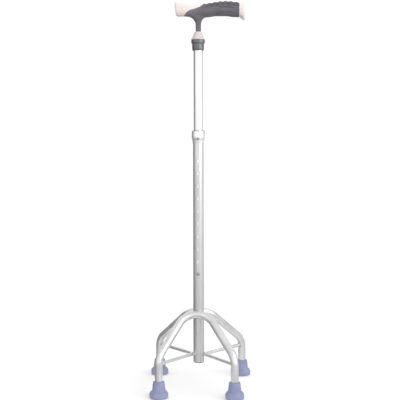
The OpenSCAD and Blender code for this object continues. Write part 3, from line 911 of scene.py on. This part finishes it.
def grip_skin():
    """The grip with its ridges and grooves, from the seam to the end cap."""
    rings = [[section_point(sx + 0.1 * MM, a, 1, 0, 3 * MM) for a, sx in zip(ANGLES, SEAMS)]]
    rows = 170
    for k in range(rows + 1):
        u = k / rows
        ring = []
        for a, sx in zip(ANGLES, SEAMS):
            x = sx + SEAM_GAP + (X1 - 0.25 * MM - sx - SEAM_GAP) * u
            edge = max(0.0, 1 - (x - sx) / EDGE, 1 - (X1 - x) / EDGE)
            p = section_point(x, a, 1, 1.0, 0.45 * MM * edge ** 2)
            p[1] -= math.copysign(GROOVE_DEPTH * side_groove(x, p[2]), p[1])
            ring.append(p)
        rings.append(ring)
    rings.append([section_point(X1 - 0.2 * MM, a, 1, 0, 4 * MM) for a in ANGLES])
    return loft(rings)


def one_skin(obj):
    """Turns the grip and the stem, which overlap, into one smooth skin."""
    mod = obj.modifiers.new("skin", "REMESH")
    mod.mode = "VOXEL"
    mod.voxel_size = 0.55 * MM
    mod.use_smooth_shade = True
    soft = obj.modifiers.new("soft", "SMOOTH")
    soft.factor = 0.5
    soft.iterations = 4
    bpy.context.view_layer.update()
    graph = bpy.context.evaluated_depsgraph_get()
    mesh = bpy.data.meshes.new_from_object(obj.evaluated_get(graph))
    obj.modifiers.clear()
    obj.data = mesh
    mesh.materials.clear()
    mesh.materials.append(GRIP)


def shade_grip(obj):
    """Marks the rubbed crests, and the painted shade along the crown, in the furrows and in the grooves,
    for the material.
    """
    wear, painted_shade = [], []
    for vert in obj.data.vertices:
        x, z = vert.co[0], vert.co[2]
        crest = (z - top_line(x)) / RIDGE_H
        wear.append(min(1.0, max(0.0, (crest - 0.35) / 0.65)) if x > 6 * MM else 0.0)
        # painted shade: the valleys between ridges, a band along the crown and the side grooves
        valley = 1 - ridge(x) / RIDGE_H if x > FIRST_RIDGE_X - RIDGE_PITCH / 2 else 0.0
        crown = smooth((z - top_line(x) + 10.5 * MM) / (4 * MM)) * smooth((x - 2 * MM) / (8 * MM))
        painted_shade.append(min(1.0, crown * (0.33 + 0.5 * valley) + 0.6 * side_groove(x, z)))
    add_float(obj, "wear", wear)
    add_float(obj, "painted_shade", painted_shade)


def make_grip():
    low = float(hi("neck_cone")[2])
    stem = loft([stem_ring(low + (STEM_TOP_Z - low) * k / 60, 64) for k in range(61)])
    v, f = join_parts([grip_skin(), stem])
    obj = mesh_object("grip_body", v, f, GRIP, 60)
    one_skin(obj)
    shade_grip(obj)
    finish_piece(obj, "upper", "handle_grip")


def make_end_cap():
    """From the grip's right end to the rounded tip, with the screw's recess."""
    rings = [[section_point(X1 + 0.2 * MM, a, 1, 0, 4 * MM) for a in ANGLES]]
    for k in range(30):
        u = k / 29
        x = X1 + 0.2 * MM + (X2 - X1 - 3.2 * MM) * u
        edge = max(0.0, 1 - (x - X1) / EDGE)
        rings.append([section_point(x, a, 1, 0, 0.4 * MM * edge ** 2) for a in ANGLES])
    for k in range(1, 11):
        t = k / 10
        x = X2 - 3.2 * MM + 3 * MM * math.sin(math.pi / 2 * t)
        q = 0.84 + 0.16 * math.cos(math.pi / 2 * t)
        rings.append([section_point(x, a, q) for a in ANGLES])
    rings.append([section_point(X2 - 0.05 * MM, a, 0.6) for a in ANGLES])
    # the recess for the screw's head and the hole for its shank, as (radius, depth)
    z = mid("end_cap_screw")[2]
    for r, depth in ((3.7, 0), (3.35, 0.3), (3.3, 4), (1.6, 4.02), (1.6, 8)):
        x = X2 - depth * MM
        rings.append([np.array([x, r * MM * math.cos(a), z + r * MM * math.sin(a)]) for a in ANGLES])
    v, f = loft(rings)
    obj = mesh_object("end_cap", v, f, CAP_CREAM, 50)
    finish_piece(obj, "upper", "handle_end_cap")


make_palm_block()
make_grip()
make_end_cap()


# ------------------------------------------------------------------ stage, light and camera
FLOOR_R = 0.17
FLOOR_Z = -0.0002


def make_floor():
    s = Shader("floor_pale", Specular_IOR_Level=0.1, Roughness=0.95)
    tone = s.ramp(s.noise(3, 2, 0.5), 0.3, 0.7)
    s.to("Base Color", s.mix(tone, (0.93, 0.93, 0.93), (0.945, 0.945, 0.945)))
    pts = [(FLOOR_R * math.cos(t), FLOOR_R * math.sin(t), FLOOR_Z) for t in turns(96)]
    obj = mesh_object("floor", pts, [tuple(range(96))], s.mat, shade_smooth=False)


make_floor()


def area_light(name, size, energy, pos, aim):
    data = bpy.data.lights.new(name, "AREA")
    data.shape = "RECTANGLE"
    data.size, data.size_y = size
    data.energy = energy
    obj = bpy.data.objects.new(name, data)
    bpy.context.scene.collection.objects.link(obj)
    obj.location = pos
    obj.rotation_euler = (Vector(aim) - Vector(pos)).to_track_quat("-Z", "Y").to_euler()


area_light("key", (2.0, 1.9), 17.5, (1.5, -1.2, 1.3), (0, 0, 0.6))

WHITE = 1.05                # how bright the camera sees the surroundings
BRIGHTEST = 5.0             # nothing reflected is brighter than this


def make_world():
    """Soft studio surroundings for reflections: darker to the left, at two rims and below.
    The camera itself sees them as white."""
    world = bpy.data.worlds.new("studio")
    bpy.context.scene.world = world
    world.use_nodes = True
    tree = world.node_tree
    back = tree.nodes["Background"]
    coord = tree.nodes.new("ShaderNodeTexCoord")

    def calc(op, a, b=0.0):
        n = tree.nodes.new("ShaderNodeMath")
        n.operation = op
        for k, value in enumerate((a, b)):
            if isinstance(value, (int, float)):
                n.inputs[k].default_value = value
            else:
                tree.links.new(value, n.inputs[k])
        return n.outputs[0]

    def step(value, low, high, a, b, kind="SMOOTHSTEP"):
        """Maps value from low..high to a..b."""
        n = tree.nodes.new("ShaderNodeMapRange")
        n.interpolation_type = kind
        tree.links.new(value, n.inputs["Value"])
        for key, v in (("From Min", low), ("From Max", high), ("To Min", a), ("To Max", b)):
            n.inputs[key].default_value = v
        return n.outputs["Result"]

    def ramp(value, low, high, a, b):
        return step(value, low, high, a, b, "LINEAR")

    def toward(direction):
        """The cosine of the angle between the ray and a direction."""
        n = tree.nodes.new("ShaderNodeVectorMath")
        n.operation = "DOT_PRODUCT"
        tree.links.new(coord.outputs["Generated"], n.inputs[0])
        n.inputs[1].default_value = tuple(unit(direction))
        return n.outputs["Value"]

    up = toward((0, 0, 1))
    glow = calc("SUBTRACT", ramp(up, -0.17, 0.0, 0.76, 1.42), ramp(up, 0.1, 0.8, 0.0, 0.32))
    high = step(up, -0.05, 0.05, 0.0, 1.0)
    band = calc("MULTIPLY", high, step(up, 0.15, 0.4, 1.0, 0.0))
    leftwards, rightwards = toward((-1, 0.05, 0)), toward((1, 0, 0))
    wide = calc("MULTIPLY", step(leftwards, 0.45, 0.95, 0.0, 0.46), calc("SUBTRACT", 1.0, band))
    narrow = calc("MULTIPLY", step(leftwards, 0.82, 0.99, 0.0, 0.56), band)
    left = calc("ADD", wide, narrow)
    left_depth = calc("ADD", calc("MULTIPLY", high, 0.47), 0.3)
    left_rim = calc("MULTIPLY", step(toward((-0.9, 0.43, 0)), 0.8, 0.96, 0.0, 1.0), left_depth)
    right_depth = calc("ADD", calc("MULTIPLY", high, 0.45), 0.1)
    right_rim = calc("MULTIPLY", step(toward((0.8, 0.6, 0)), 0.75, 0.96, 0.0, 1.0), right_depth)
    below = calc("MULTIPLY", step(up, -0.7, -0.3, 1.0, 0.0), step(rightwards, -0.5, 0.5, 0.65, -0.2))
    middle = step(calc("ABSOLUTE", rightwards), 0.06, 0.3, 0.1, 0.0)
    value = glow
    for shade in (left, left_rim, right_rim, below, middle):
        value = calc("MULTIPLY", value, calc("SUBTRACT", 1.0, shade))
    # for camera rays the value is held at WHITE from below and from above
    camera_ray = tree.nodes.new("ShaderNodeLightPath").outputs["Is Camera Ray"]
    seen = calc("MAXIMUM", value, calc("MULTIPLY", camera_ray, WHITE))
    ceiling = calc("SUBTRACT", BRIGHTEST, calc("MULTIPLY", camera_ray, BRIGHTEST - WHITE))
    white = calc("MINIMUM", seen, ceiling)
    back.inputs["Color"].default_value = (1, 1, 1, 1)
    tree.links.new(white, back.inputs["Strength"])


make_world()
bpy.context.scene.view_settings.view_transform = "Standard"

CAMERA_DISTANCE = 1.686
CAMERA_HEIGHT = 0.489
CAMERA_AZIMUTH = math.radians(2.75)
CAMERA_PITCH = math.radians(3.666)
CAMERA_ROLL = math.radians(-0.12)
CAMERA_TURN = math.radians(0.11)
FOCAL_LENGTH = 75.15        # this and the sensor are in millimetres
SENSOR = 36


def make_camera():
    data = bpy.data.cameras.new("camera")
    data.sensor_width = SENSOR
    data.lens = FOCAL_LENGTH
    camera = bpy.data.objects.new("camera", data)
    bpy.context.scene.collection.objects.link(camera)
    right, back = CAMERA_DISTANCE * math.sin(CAMERA_AZIMUTH), CAMERA_DISTANCE * math.cos(CAMERA_AZIMUTH)
    camera.location = (right, -back, CAMERA_HEIGHT)
    heading = Matrix.Rotation(CAMERA_AZIMUTH - CAMERA_TURN, 3, "Z")
    tilt = Matrix.Rotation(math.pi / 2 - CAMERA_PITCH, 3, "X")
    camera.rotation_euler = (heading @ tilt @ Matrix.Rotation(CAMERA_ROLL, 3, "Z")).to_euler()
    bpy.context.scene.camera = camera


make_camera()
